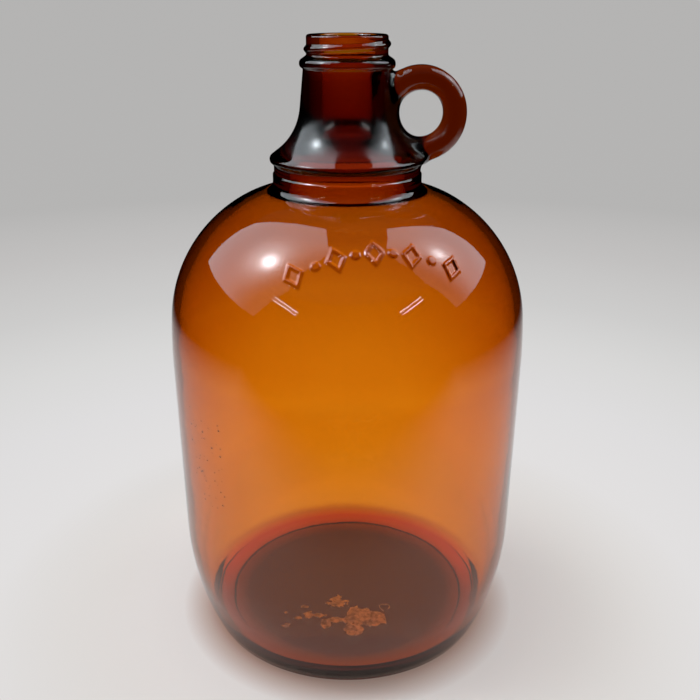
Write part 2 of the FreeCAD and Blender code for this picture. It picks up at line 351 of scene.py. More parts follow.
def nearest_on_outline(flat, outline):
    """Nearest place on the outline for each (radius, height), with its outward normal."""
    start, end = outline[:-1], outline[1:]
    along = end - start
    length2 = (along ** 2).sum(1)
    where = np.empty_like(flat)
    normal = np.empty_like(flat)
    for first in range(0, len(flat), CHUNK):
        chunk = flat[first:first + CHUNK, None, :]
        share = np.clip(((chunk - start) * along).sum(2) / length2, 0, 1)
        foot = start + share[..., None] * along
        best = ((chunk - foot) ** 2).sum(2).argmin(1)
        pick = np.arange(len(best))
        where[first:first + CHUNK] = foot[pick, best]
        step = along[best] / np.sqrt(length2[best])[:, None]
        normal[first:first + CHUNK] = np.stack([step[:, 1], -step[:, 0]], 1)
    return where, normal


def outward(mesh):
    """Turns a closed mesh's faces outwards."""
    shape = bmesh.new()
    shape.from_mesh(mesh)
    bmesh.ops.recalc_face_normals(shape, faces=shape.faces)
    return written(shape, mesh)


def set_input(modifier, name, value):
    """Sets a Geometry Nodes input by its socket's identifier."""
    for item in modifier.node_group.interface.items_tree:
        if item.item_type == "SOCKET" and item.in_out == "INPUT" and item.name == name:
            modifier[item.identifier] = value
            return
    raise KeyError(name)


def made_plain(thing):
    """Replaces a piece's mesh by what its modifiers make, and removes them."""
    graph = bpy.context.evaluated_depsgraph_get()
    mesh = bpy.data.meshes.new_from_object(thing.evaluated_get(graph))
    thing.modifiers.clear()
    thing.data = mesh
    return thing


# ---- Node trees ---------------------------------------------------------------------------

class NodeSums:
    """Sums in a node tree, each made from numbers and other sums."""

    def __init__(self, tree):
        self.tree = tree

    def add(self, kind, **settings):
        node = self.tree.nodes.new(kind)
        for key, value in settings.items():
            setattr(node, key, value)
        return node

    def link(self, source, target):
        if isinstance(source, (int, float)):
            target.default_value = source
        else:
            self.tree.links.new(source, target)

    def math(self, operation, *values):
        node = self.add("ShaderNodeMath", operation=operation)
        for value, socket in zip(values, node.inputs):
            self.link(value, socket)
        return node.outputs[0]

    def smooth(self, value, low, high):
        """0 up to low, 1 from high, smooth between."""
        node = self.add("ShaderNodeMapRange", interpolation_type="SMOOTHSTEP")
        for source, name in ((value, "Value"), (low, "From Min"), (high, "From Max")):
            self.link(source, node.inputs[name])
        return node.outputs["Result"]

    def split(self, vector):
        node = self.add("ShaderNodeSeparateXYZ")
        self.link(vector, node.inputs[0])
        return node.outputs

    def noise(self, place, scale, detail):
        node = self.add("ShaderNodeTexNoise")
        node.inputs["Scale"].default_value = scale
        node.inputs["Detail"].default_value = detail
        self.link(place, node.inputs["Vector"])
        return node.outputs[0]

    def bump(self, height, shader, distance, strength=1.0):
        """Roughens a shader's normal."""
        node = self.add("ShaderNodeBump")
        node.inputs["Strength"].default_value = strength
        node.inputs["Distance"].default_value = distance
        self.link(height, node.inputs["Height"])
        self.link(node.outputs[0], shader.inputs["Normal"])

    def ramp(self, value, stops):
        """Colour along a run of (position, colour) stops, its positions in metres."""
        node = self.add("ShaderNodeValToRGB")
        longest = stops[-1][0]
        node.color_ramp.elements.remove(node.color_ramp.elements[1])
        for position, tone in stops:
            stop = node.color_ramp.elements[0] if position == stops[0][0] else \
                node.color_ramp.elements.new(position / longest)
            stop.position = position / longest
            stop.color = (*tone, 1)
        self.link(self.math("DIVIDE", value, longest), node.inputs[0])
        return node.outputs[0]


# ---- Geometry Nodes -----------------------------------------------------------------------

class NodeField(NodeSums):
    """A Geometry Nodes tree with named inputs, which moves a surface or scatters things on it."""

    def __init__(self, name, inputs):
        super().__init__(bpy.data.node_groups.new(name, "GeometryNodeTree"))
        face = self.tree.interface
        face.new_socket("Geometry", in_out="INPUT", socket_type="NodeSocketGeometry")
        for label, default in inputs.items():
            kind = "NodeSocketInt" if isinstance(default, int) else "NodeSocketFloat"
            face.new_socket(label, in_out="INPUT", socket_type=kind).default_value = default
        face.new_socket("Material", in_out="INPUT", socket_type="NodeSocketMaterial")
        face.new_socket("Geometry", in_out="OUTPUT", socket_type="NodeSocketGeometry")
        self.entry = self.add("NodeGroupInput")

    def given(self, name):
        return self.entry.outputs[name]

    def chain(self, start, *steps):
        """Applies (operation, value) steps one after another."""
        for operation, *values in steps:
            start = self.math(operation, start, *values)
        return start

    def attribute(self, name):
        node = self.add("GeometryNodeInputNamedAttribute", data_type="FLOAT")
        node.inputs["Name"].default_value = name
        return node.outputs["Attribute"]

    def place(self):
        return self.split(self.add("GeometryNodeInputPosition").outputs[0])

    def push(self, height):
        """Moves the surface along its normal and ends the tree."""
        scale = self.add("ShaderNodeVectorMath", operation="SCALE")
        self.link(self.add("GeometryNodeInputNormal").outputs[0], scale.inputs[0])
        self.link(height, scale.inputs["Scale"])
        move = self.add("GeometryNodeSetPosition")
        self.link(self.given("Geometry"), move.inputs["Geometry"])
        self.link(scale.outputs[0], move.inputs["Offset"])
        return self.finish(move.outputs[0])

    def finish(self, geometry):
        """Ends the tree: everything real, in the piece's material."""
        real = self.add("GeometryNodeRealizeInstances")
        self.link(geometry, real.inputs[0])
        paint = self.add("GeometryNodeSetMaterial")
        self.link(real.outputs[0], paint.inputs["Geometry"])
        self.link(self.given("Material"), paint.inputs["Material"])
        self.link(paint.outputs[0], self.add("NodeGroupOutput").inputs[0])
        return self.tree


def band_tree():
    """Raised lozenges and studs in turn, on an arch; reads where each point lies on the shoulder."""
    field = NodeField("Raised band", {
        "Count": 9, "Pitch": 7.0, "Middle": 10.0, "Top Turn": 48.3, "Arch": 9.5,
        "Shoulder Radius": 64.8 * MM, "Lozenge Height": 12.0 * MM, "Lozenge Width": 8.6 * MM,
        "Stroke": 1.4 * MM, "Stud": 3.8 * MM, "Relief": 0.7 * MM, "Softness": 0.6 * MM})
    m = field.math
    half = field.chain(field.given("Count"), ("SUBTRACT", 1), ("MULTIPLY", 0.5))
    off_middle = m("SUBTRACT", field.attribute("around"), field.given("Middle"))
    step = m("DIVIDE", off_middle, field.given("Pitch"))
    index = m("MINIMUM", m("MAXIMUM", m("ROUND", step), m("MULTIPLY", half, -1)), half)
    share = m("DIVIDE", index, half)
    x, y, _ = field.place()
    radius = m("SQRT", m("ADD", m("MULTIPLY", x, x), m("MULTIPLY", y, y)))
    degree = math.pi / 180
    across = field.chain(m("SUBTRACT", step, index), ("MULTIPLY", field.given("Pitch")),
                         ("MULTIPLY", degree), ("MULTIPLY", radius))
    motif_turn = m("SUBTRACT", field.given("Top Turn"),
                   m("MULTIPLY", field.given("Arch"), m("MULTIPLY", share, share)))
    upward = field.chain(m("SUBTRACT", field.attribute("turn"), motif_turn),
                         ("MULTIPLY", degree), ("MULTIPLY", field.given("Shoulder Radius")))
    run = field.chain(half, ("MULTIPLY", field.given("Pitch")), ("MULTIPLY", radius))
    slope = m("DIVIDE", field.chain(share, ("MULTIPLY", -2), ("MULTIPLY", field.given("Arch")),
                                    ("MULTIPLY", field.given("Shoulder Radius"))), run)
    lean = m("ARCTANGENT", slope)
    c, s = m("COSINE", lean), m("SINE", lean)
    u = m("ABSOLUTE", m("ADD", m("MULTIPLY", across, c), m("MULTIPLY", upward, s)))
    v = m("ABSOLUTE", m("SUBTRACT", m("MULTIPLY", upward, c), m("MULTIPLY", across, s)))
    stud = m("SUBTRACT", m("SQRT", m("ADD", m("MULTIPLY", u, u), m("MULTIPLY", v, v))),
             m("MULTIPLY", field.given("Stud"), 0.5))
    w, h = field.given("Lozenge Width"), field.given("Lozenge Height")
    slant = m("SQRT", m("ADD", m("MULTIPLY", w, w), m("MULTIPLY", h, h)))
    reach = m("SUBTRACT", m("ADD", m("MULTIPLY", u, h), m("MULTIPLY", v, w)),
              field.chain(w, ("MULTIPLY", h), ("MULTIPLY", 0.5)))
    rim = m("DIVIDE", reach, slant)
    half_stroke = m("MULTIPLY", field.given("Stroke"), 0.5)
    lozenge = m("SUBTRACT", m("ABSOLUTE", m("ADD", rim, half_stroke)), half_stroke)
    odd = m("ABSOLUTE", m("MODULO", m("ADD", index, half), 2))
    apart = m("ADD", m("MULTIPLY", stud, odd), m("MULTIPLY", lozenge, m("SUBTRACT", 1, odd)))
    soft = field.given("Softness")
    edge = m("SUBTRACT", 1, field.smooth(apart, m("MULTIPLY", soft, -0.5), m("MULTIPLY", soft, 0.5)))
    on_shoulder = m("GREATER_THAN", field.attribute("turn"), 0)
    return field.push(m("MULTIPLY", m("MULTIPLY", edge, field.given("Relief")), on_shoulder))


def thread_tree():
    """One rounded ridge that climbs round the finish and fades at both ends."""
    field = NodeField("Screw thread", {
        "Start Height": 0.28, "Start Angle": 95.0, "Pitch": 4.2 * MM, "Turns": 0.97,
        "Height": 1.1 * MM, "Half Width": 1.7 * MM, "Fade": 0.05, "Least Radius": 16.3 * MM})
    m = field.math
    x, y, z = field.place()
    angle = field.chain(m("ARCTAN2", y, x), ("MULTIPLY", 180 / math.pi),
                        ("SUBTRACT", field.given("Start Angle")), ("ADD", 720), ("MODULO", 360))
    turn = m("DIVIDE", angle, 360)
    ridge_z = m("ADD", field.given("Start Height"), m("MULTIPLY", turn, field.given("Pitch")))
    off_ridge = m("ABSOLUTE", m("SUBTRACT", z, ridge_z))
    apart = m("MINIMUM", m("DIVIDE", off_ridge, field.given("Half Width")), 1)
    bump = m("POWER", m("SUBTRACT", 1, m("MULTIPLY", apart, apart)), 1.4)
    rise = field.smooth(turn, 0, field.given("Fade"))
    fall = m("SUBTRACT", 1, field.smooth(turn, m("SUBTRACT", field.given("Turns"), field.given("Fade")),
                                         field.given("Turns")))
    radius = m("SQRT", m("ADD", m("MULTIPLY", x, x), m("MULTIPLY", y, y)))
    outside = m("GREATER_THAN", radius, field.given("Least Radius"))
    height = field.chain(bump, ("MULTIPLY", rise), ("MULTIPLY", fall), ("MULTIPLY", outside),
                         ("MULTIPLY", field.given("Height")))
    return field.push(height)


def uneven_tree():
    """Slow waves, as a blown inside has, where the mesh says how far the glass may wander."""
    field = NodeField("Uneven inside", {"Depth": 0.3 * MM, "Scale": 16.0, "Seed": 3.0,
                                        "Shoulder Extra": 1.1 * MM, "From": 0.10, "To": 0.20})
    waves = field.add("ShaderNodeTexNoise", noise_dimensions="4D")
    field.link(field.add("GeometryNodeInputPosition").outputs[0], waves.inputs["Vector"])
    field.link(field.given("Seed"), waves.inputs["W"])
    field.link(field.given("Scale"), waves.inputs["Scale"])
    waves.inputs["Detail"].default_value = 1.0
    height = field.chain(waves.outputs[0], ("SUBTRACT", 0.5), ("MULTIPLY", 2),
                         ("MULTIPLY", field.given("Depth")))
    rise = field.smooth(field.place()[2], field.given("From"), field.given("To"))
    extra = field.math("MULTIPLY", rise, field.given("Shoulder Extra"))
    moved = field.math("ADD", height, extra)
    return field.push(field.math("MULTIPLY", moved, field.attribute("loose")))


def apply_field(thing, tree, material, values):
    """Runs one tree on a piece and keeps the result as a plain mesh."""
    modifier = thing.modifiers.new(tree.name, "NODES")
    modifier.node_group = tree
    for name, value in values.items():
        set_input(modifier, name, value)
    set_input(modifier, "Material", material)
    return made_plain(thing)


# ---- Materials -----------------------------------------------------------------------------

def node_material(name):
    material = bpy.data.materials.new(name)
    material.use_nodes = True
    nodes = material.node_tree.nodes
    return material, nodes, material.node_tree.links, nodes["Principled BSDF"]


FLARE_HAZE = 0.16                       # extra roughness of the neck's flare
FLARE_HAZE_FROM = (TOP - 50 * MM, TOP - 44 * MM)
FLARE_HAZE_TO = (TOP - 34 * MM, TOP - 20 * MM)
SMEAR_HAZE = 0.05                       # roughness of the smears on the rest


def glass_material(settings):
    """Clear amber glass: the colour is in its depth, so thick places are darker."""
    material, nodes, links, shader = node_material("amber_glass")
    sums = NodeSums(material.node_tree)
    shader.inputs["Base Color"].default_value = (1, 1, 1, 1)
    shader.inputs["Transmission Weight"].default_value = 1.0
    shader.inputs["IOR"].default_value = 1.52
    place = sums.add("ShaderNodeTexCoord").outputs["Object"]
    sums.bump(sums.noise(place, 60, 2), shader, 1.0 * MM, 0.04)
    haze = sums.add("ShaderNodeMapRange")
    for name, value in (("From Min", 0.5), ("From Max", 0.8), ("To Max", SMEAR_HAZE)):
        haze.inputs[name].default_value = value
    sums.link(sums.noise(place, 14, 6), haze.inputs["Value"])
    height = sums.split(place)["Z"]
    flare = sums.math("SUBTRACT", sums.smooth(height, *FLARE_HAZE_FROM),
                      sums.smooth(height, *FLARE_HAZE_TO))
    rough = sums.math("ADD", haze.outputs[0], sums.math("MULTIPLY", flare, FLARE_HAZE))
    links.new(rough, shader.inputs["Roughness"])
    absorb = nodes.new("ShaderNodeVolumeAbsorption")
    absorb.inputs["Color"].default_value = (*settings.tint, 1)
    absorb.inputs["Density"].default_value = settings.density
    links.new(absorb.outputs[0], nodes["Material Output"].inputs["Volume"])
    return material


def residue_material(name, colour):
    """Dried drink: matt, rough and mottled from dark to its own colour."""
    material, nodes, links, shader = node_material(name)
    sums = NodeSums(material.node_tree)
    mottle = sums.noise(sums.add("ShaderNodeTexCoord").outputs["Object"], 450, 5)
    ramp = sums.add("ShaderNodeValToRGB")
    for stop, position, share in zip(ramp.color_ramp.elements, (0.35, 0.62), (0.35, 1)):
        stop.position = position
        stop.color = (*[c * share for c in colour], 1)
    links.new(mottle, ramp.inputs[0])
    links.new(ramp.outputs[0], shader.inputs["Base Color"])
    sums.bump(mottle, shader, 0.1 * MM)
    shader.inputs["Roughness"].default_value = 0.85
    return material


# ---- Glass ------------------------------------------------------------------------------------

RING_HOLE = 9.9 * MM                    # radius
RING_THICKNESS = 10.0 * MM              # from the hole outwards
RING_WIDTH = 14.0 * MM                  # front to back
RING_GAP = 21.9 * MM                    # from the jug's axis to the hole
RING_DEPTH = 31.8 * MM                  # from the mouth down to the ring's middle
RING_CENTRE = Vector((RING_GAP + RING_HOLE, 0, TOP - RING_DEPTH))
RING_RADIUS = RING_HOLE + RING_THICKNESS / 2
RING_FLAT = (RING_WIDTH - RING_THICKNESS) / 2
FLOOR_FADE, NECK_FADE = 25 * MM, 10 * MM    # heights over which the inside's waves come and go
SETTLING, EVENING = 4, 12               # rounds that melt the ring's root and even out its mesh


def mark_surface(mesh, outline):
    """Stores where each point lies: round the jug, up the shoulder, and how loose the inside is."""
    places = coordinates(mesh)
    radius, height = np.hypot(places[:, 0], places[:, 1]), places[:, 2]
    around = np.degrees(np.arctan2(places[:, 0], -places[:, 1]))
    rise = np.hypot(radius - outline.shoulder_r, height - outline.shoulder_z)
    turn = np.degrees(np.arctan2(height - outline.shoulder_z, radius - outline.shoulder_r))
    on_shoulder = ((abs(rise - outline.shoulder_radius) < 0.3 * MM) & (turn > 20)
                   & (turn < outline.shoulder_turn - 0.5))
    turn = np.where(on_shoulder, turn, 0)
    low, high = outline.floor_z + 2 * MM, outline.throat_foot - 3 * MM
    within = np.interp(height, [low, low + FLOOR_FADE, high - NECK_FADE, high], [0, 1, 1, 0])
    wall_gap = np.where(height > outline.wall_top, outline.shoulder_radius - rise,
                        BODY_RADIUS - radius)
    loose = within * np.clip(wall_gap / outline.wall, 0, 1)
    for name, values in (("around", around), ("turn", turn), ("loose", loose)):
        store = mesh.attributes.new(name, "FLOAT", "POINT")
        store.data.foreach_set("value", values.astype(np.float32))


def on_outline(mesh, outline_points, wanted):
    """Puts the cut-up faces' new points back on the true curve."""
    places = coordinates(mesh)
    pick = np.array([wanted(Vector(p)) for p in places])
    radius = np.hypot(places[pick, 0], places[pick, 1])
    where, _ = nearest_on_outline(np.stack([radius, places[pick, 2]], 1), outline_points)
    scale = where[:, 0] / radius
    places[pick, 0] *= scale
    places[pick, 1] *= scale
    places[pick, 2] = where[:, 1]
    set_coordinates(mesh, places)


def ring_mesh():
    """The finger ring, its section a slot that is flat on its inner and outer sides."""
    half, around = RING_THICKNESS / 2, 168
    flat = straight((0, RING_FLAT), (0, -RING_FLAT), 1 * MM)[1:-1]
    section = []
    for side in (1, -1):
        section += [(side * x, side * y) for x, y in arc((0, RING_FLAT), half, 0, 180, 0.5 * MM)]
        section += [(-side * half, side * y) for _, y in flat]
    across = len(section)
    places = []
    for i in range(around):
        a = 360 * i / around
        places += [(RING_CENTRE.x + (RING_RADIUS + x) * cos(a), y,
                    RING_CENTRE.z + (RING_RADIUS + x) * sin(a)) for x, y in section]
    faces = [(i * across + j, i * across + (j + 1) % across,
              (i + 1) % around * across + (j + 1) % across, (i + 1) % around * across + j)
             for i in range(around) for j in range(across)]
    mesh = bpy.data.meshes.new("finger_ring")
    mesh.from_pydata(places, [], faces)
    return outward(mesh)


def ring_distance(places):
    """Distance from the ring's surface, with its outward direction."""
    flat = places - np.array(RING_CENTRE)
    flat[:, 1] -= np.clip(flat[:, 1], -RING_FLAT, RING_FLAT)
    reach = np.hypot(flat[:, 0], flat[:, 2])
    core = np.stack([flat[:, 0] / reach * RING_RADIUS, np.zeros(len(flat)),
                     flat[:, 2] / reach * RING_RADIUS], 1)
    away = flat - core
    length = np.linalg.norm(away, axis=1)
    return length - RING_THICKNESS / 2, away / length[:, None]


def neck_distance(places, outline_points):
    """Distance from the turned glass, with its outward direction."""
    radius = np.hypot(places[:, 0], places[:, 1])
    flat = np.stack([radius, places[:, 2]], 1)
    where, normal = nearest_on_outline(flat, outline_points)
    gap = flat - where
    distance = (gap * normal).sum(1)
    sign = np.where(distance < 0, -1, 1)
    length = np.linalg.norm(gap, axis=1)
    far = length > 1e-6
    outwards = gap / np.maximum(length, 1e-9)[:, None] * sign[:, None]
    direction = np.where(far[:, None], outwards, normal)
    spread = np.stack([places[:, 0] / radius, places[:, 1] / radius], 1)
    return sign * length, np.concatenate([spread * direction[:, :1], direction[:, 1:]], 1)


def blend_root(mesh, outline_points, fillet):
    """Melts the ring into the neck, as hot glass does, and evens out the mesh there."""
    places = coordinates(mesh)
    turned, _ = neck_distance(places, outline_points)
    round_ring, _ = ring_distance(places)
    near = ((abs(turned) < fillet) & (abs(round_ring) < fillet)
            & (np.hypot(places[:, 0], places[:, 1]) > 15 * MM))
    joint = np.flatnonzero(near)
    neighbours = [[] for _ in range(len(places))]
    for edge in mesh.edges:
        a, b = edge.vertices
        neighbours[a].append(b)
        neighbours[b].append(a)

    def settle(points):
        for _ in range(SETTLING):
            first, first_way = neck_distance(points, outline_points)
            second, second_way = ring_distance(points)
            share = np.clip(0.5 + 0.5 * (second - first) / fillet, 0, 1)
            value = second + (first - second) * share - fillet * share * (1 - share)
            way = second_way + (first_way - second_way) * share[:, None]
            steep = (way ** 2).sum(1)
            points = points - way * (value / np.maximum(steep, 0.05))[:, None]
        return points

    places[joint] = settle(places[joint])
    for _ in range(EVENING):
        evened = np.array([places[neighbours[i]].mean(0) for i in joint])
        places[joint] = settle(places[joint] * 0.5 + evened * 0.5)
    set_coordinates(mesh, places)


class JUG_OT_glass(bpy.types.Operator):
    """Make the jug's glass: turned shell, raised band, screw thread and finger ring in one piece"""
    bl_idname = "jug.glass"
    bl_label = "Glass"

    def execute(self, context):
        scene = context.scene
        shape, band, thread = scene.jug_shape, scene.jug_band, scene.jug_thread
        outline = Outline(shape.wall)
        points = outline.points()
        material = glass_material(scene.jug_glass)
        mesh = spun("jug_glass", points, shape.columns)

        def on_band(p):
            turn = math.atan2(p.z - outline.shoulder_z, math.hypot(p.x, p.y) - outline.shoulder_r)
            far = math.hypot(math.hypot(p.x, p.y) - outline.shoulder_r, p.z - outline.shoulder_z)
            away = abs(math.atan2(p.x, -p.y) - band.middle)
            return (far > outline.shoulder_radius - 0.5 * MM
                    and away < band.pitch * (band.count / 2 + 0.3)
                    and math.radians(32) < turn < math.radians(57))

        def by_ring(p):
            reach = math.hypot(p.x, p.y)
            return (p.x > 0 and abs(p.y) < 13 * MM and 16.5 * MM < reach
                    and outline.ledge_z - 4 * MM < p.z < outline.bead_z + 2.2 * MM)

        refine(mesh, on_band, 4)
        refine(mesh, by_ring, 1)
        on_outline(mesh, points, lambda p: on_band(p) or by_ring(p))
        mark_surface(mesh, outline)
        glass = new_object("jug_glass", mesh)
        apply_field(glass, uneven_tree(), material, {"Depth": shape.unevenness})
        apply_field(glass, band_tree(), material, {
            "Count": band.count, "Pitch": math.degrees(band.pitch),
            "Middle": math.degrees(band.middle), "Relief": band.relief,
            "Shoulder Radius": outline.shoulder_radius})
        apply_field(glass, thread_tree(), material, {
            "Start Height": TOP - 6.8 * MM, "Pitch": thread.pitch, "Turns": thread.turns,
            "Height": thread.height})
        ring = new_object("finger_ring", ring_mesh())
        union = glass.modifiers.new("Ring", "BOOLEAN")
        union.operation, union.solver, union.object = "UNION", "EXACT", ring
        made_plain(glass)
        bpy.data.objects.remove(ring)
        blend_root(glass.data, points, shape.root_fillet)
        for name in ("around", "turn", "loose"):
            glass.data.attributes.remove(glass.data.attributes[name])
        glass.data.materials.clear()
        glass.data.materials.append(material)
        glass.data.shade_smooth()
        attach(glass, "root")
        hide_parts("jug")
        return {"FINISHED"}


# ---- Dried drink ---------------------------------------------------------------------------------

# Patches on the floor in millimetres: middle (x, y), half sizes, and how high they stand, 0 to 1
PATCHES = ((7, -31, 8, 7, 1.0), (14.5, -33, 6, 5.5, 1.0), (3.5, -41, 5, 5, 1.0), (1, -34, 4, 3, 1.0),
           (-6, -34.5, 5, 2, 0.8), (-11, -37, 3.2, 3.5, 0.6), (-20.5, -30.5, 2.4, 3, 0.8),
           (-22.5, -24.5, 2.2, 1.4, 0.7), (-32, -29, 1, 1, 0.9), (-31, -39, 2.4, 2.4, 0.5),
           (-5, -19, 4.5, 4, 0.35), (-14, -31, 4.5, 1.6, 0.5), (-26, -33, 3, 1.2, 0.55))
PATCH_LOW, PATCH_HIGH, PATCH_CELL = (-36, -50), (24, -13), 0.3
ROUGHNESS = 0.34                        # how far the patches' edges and tops wander
FULL_LEVEL = 0.5                        # level from which the crust has its full thickness
SUNK = 0.05                             # how far its underside stands in the glass, in millimetres
CURL = (19.8, -24.4, 2.6, 0.4)          # a curled hair of it: middle (x, y), radius and thickness
FLECKS_AROUND, FLECKS_HEIGHT = (-60, -42), (0.088, 0.134)   # their patch of wall


def crust_height(x, y):
    """How thick the dried drink is at a place on the floor, from below 0 (none) to 1."""
    rough = noise.fractal(Vector((x, y, 4.0)) * 0.34, 0.9, 2.1, 5)
    best = -1.0
    for px, py, rx, ry, high in PATCHES:
        reach = 1 - math.hypot((x - px) / rx, (y - py) / ry)
        best = max(best, min(reach, 0.55) * high)
    return best + ROUGHNESS * rough


def crust_mesh(floor, thickness):
    """Closed crust: a height field on the floor, its underside sunk a little into the glass."""
    columns = round((PATCH_HIGH[0] - PATCH_LOW[0]) / PATCH_CELL)
    rows = round((PATCH_HIGH[1] - PATCH_LOW[1]) / PATCH_CELL)
    level = {(i, j): crust_height(PATCH_LOW[0] + i * PATCH_CELL, PATCH_LOW[1] + j * PATCH_CELL)
             for i in range(columns + 1) for j in range(rows + 1)}
    shape = bmesh.new()
    tops, feet = {}, {}

    def corner(key):
        if key not in tops:
            x, y = (PATCH_LOW[k] + key[k] * PATCH_CELL for k in (0, 1))
            rise = math.sqrt(min(max(level[key], 0), FULL_LEVEL) / FULL_LEVEL) * thickness
            tops[key] = shape.verts.new((x * MM, y * MM, floor + rise))
            feet[key] = shape.verts.new((x * MM, y * MM, floor - SUNK * MM))
        return key

    for i in range(columns):
        for j in range(rows):
            keys = [(i, j), (i + 1, j), (i + 1, j + 1), (i, j + 1)]
            if sum(level[key] > 0 for key in keys) >= 3:
                keys = [corner(key) for key in keys]
                shape.faces.new([tops[key] for key in keys])
                shape.faces.new([feet[key] for key in reversed(keys)])
    sides = [edge for edge in shape.edges if edge.is_boundary and edge.verts[0] in set(tops.values())]
    pair = {top: feet[key] for key, top in tops.items()}
    for edge in sides:
        a, b = edge.verts
        shape.faces.new((a, b, pair[b], pair[a]))
    bmesh.ops.recalc_face_normals(shape, faces=shape.faces)
    return written(shape, bpy.data.meshes.new("dried_drink"))


def curl_mesh(floor):
    """The curled hair: an open ring of round section with closed ends."""
    x, y, radius, thick = CURL
    around, across = 40, 10
    shape = bmesh.new()
    rings = []
    for i in range(around + 1):
        a = 300 * i / around - 40
        wander = radius * (1 + 0.12 * sin(3 * a))
        ring = []
        for j in range(across):
            b = 360 * j / across
            reach = wander + thick / 2 * cos(b)
            ring.append(shape.verts.new(((x + reach * cos(a)) * MM, (y + reach * sin(a)) * MM,
                                         floor + (thick / 2 * (1 + sin(b)) - 0.03) * MM)))
        rings.append(ring)
    for low, high in zip(rings, rings[1:]):
        for j in range(across):
            k = (j + 1) % across
            shape.faces.new((low[j], low[k], high[k], high[j]))
    shape.faces.new(rings[0])
    shape.faces.new(rings[-1])
    bmesh.ops.recalc_face_normals(shape, faces=shape.faces)
    return written(shape, bpy.data.meshes.new("dried_curl"))


def specks_tree():
    """Small flat flecks scattered over a patch of wall."""
    field = NodeField("Specks", {"Density": 60000.0, "Seed": 5, "Smallest": 0.12 * MM,
                                 "Largest": 0.6 * MM})
    scatter = field.add("GeometryNodeDistributePointsOnFaces")
    field.link(field.given("Geometry"), scatter.inputs["Mesh"])
    field.link(field.given("Density"), scatter.inputs["Density"])
    field.link(field.given("Seed"), scatter.inputs["Seed"])
    size = field.add("FunctionNodeRandomValue", data_type="FLOAT")
    field.link(field.given("Smallest"), size.inputs[2])
    field.link(field.given("Largest"), size.inputs[3])
    field.link(field.given("Seed"), size.inputs["Seed"])
    flat = field.add("ShaderNodeCombineXYZ")
    for axis, share in zip(flat.inputs, (1.0, 0.6, 0.3)):
        field.link(field.math("MULTIPLY", size.outputs[1], share), axis)
    fleck = field.add("GeometryNodeMeshIcoSphere")
    fleck.inputs["Subdivisions"].default_value = 2
    spread = field.add("GeometryNodeInstanceOnPoints")
    field.link(scatter.outputs["Points"], spread.inputs["Points"])
    field.link(fleck.outputs["Mesh"], spread.inputs["Instance"])
    field.link(scatter.outputs["Rotation"], spread.inputs["Rotation"])
    field.link(flat.outputs[0], spread.inputs["Scale"])
    return field.finish(spread.outputs[0])


def wall_patch(outline, around, low, high):
    """Thin strip of the wall's inner face between two angles and two heights."""
    radius = BODY_RADIUS - outline.wall - 0.35 * MM
    n = 7
    angles, heights = np.linspace(*around, n), np.linspace(low, high, n)
    places = [(radius * sin(a), -radius * cos(a), z) for z in heights for a in angles]
    faces = [(r * n + c, r * n + c + 1, (r + 1) * n + c + 1, (r + 1) * n + c)
             for r in range(n - 1) for c in range(n - 1)]
    mesh = bpy.data.meshes.new("wall_patch")
    mesh.from_pydata(places, [], faces)
    return mesh


class JUG_OT_residue(bpy.types.Operator):
    """Make the dried drink on the floor inside, its curl, and the flecks on the wall"""
    bl_idname = "jug.residue"
    bl_label = "Dried drink"

    def execute(self, context):
        settings = context.scene.jug_residue
        outline = Outline(context.scene.jug_shape.wall)
        crust = residue_material("dried_drink", settings.colour)
        dark = residue_material("dried_flecks", [c * 0.12 for c in settings.colour])
        flecks = new_object("wall_flecks", wall_patch(outline, FLECKS_AROUND, *FLECKS_HEIGHT))
        apply_field(flecks, specks_tree(), dark, {"Density": 55000.0, "Seed": 5})
        pieces = [(new_object("dried_drink", crust_mesh(outline.floor_z, settings.thickness)), crust),
                  (new_object("dried_curl", curl_mesh(outline.floor_z)), crust), (flecks, dark)]
        for piece, material in pieces:
            piece.data.materials.clear()
            piece.data.materials.append(material)
            piece.data.shade_smooth()
            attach(piece, "root")
        return {"FINISHED"}


# ---- Studio ----------------------------------------------------------------------------------

def mirror_ray(sums, path):
    """1 for a ray that the glass mirrors, and 0 for one that passes through it."""
    return sums.math("MULTIPLY", path["Is Reflection Ray"], path["Is Glossy Ray"])


# Distance from the jug's axis in metres, and the tone of the paper's own glow there
PAPER_TONES = ((0.13, (0.70, 0.67, 0.64)), (0.20, (0.76, 0.745, 0.745)), (0.29, (0.735, 0.725, 0.73)),
               (0.40, (0.69, 0.685, 0.68)), (0.54, (0.61, 0.605, 0.60)), (0.75, (0.54, 0.53, 0.525)),
               (1.05, (0.465, 0.46, 0.455)), (4.6, (0.45, 0.445, 0.44)))
# The paper's colour with painted light at the foot: painted shade, dark red, under the jug, and a
# painted amber glow round its edge
PAINTED_FOOT_GLOW_TONES = ((0.0, (0.30, 0.10, 0.05)), (0.0735, (0.34, 0.11, 0.05)), (0.0765, (0.48, 0.26, 0.19)),
              (0.080, (0.74, 0.60, 0.55)), (0.088, (0.86, 0.78, 0.75)), (4.6, (0.86, 0.78, 0.75)))
# How much of its glow the paper under the jug keeps: little inside the ring that the jug stands on
FOOT_SHADE = ((0.0, (0.12,) * 3), (0.0622, (0.14,) * 3), (0.0642, (0.62, 0.58, 0.56)),
              (0.069, (0.85, 0.80, 0.78)), (0.0735, (0.62, 0.45, 0.38)), (0.0765, (0.80, 0.70, 0.66)),
              (0.084, (0.94,) * 3), (0.10, (1.0,) * 3), (4.6, (1.0,) * 3))


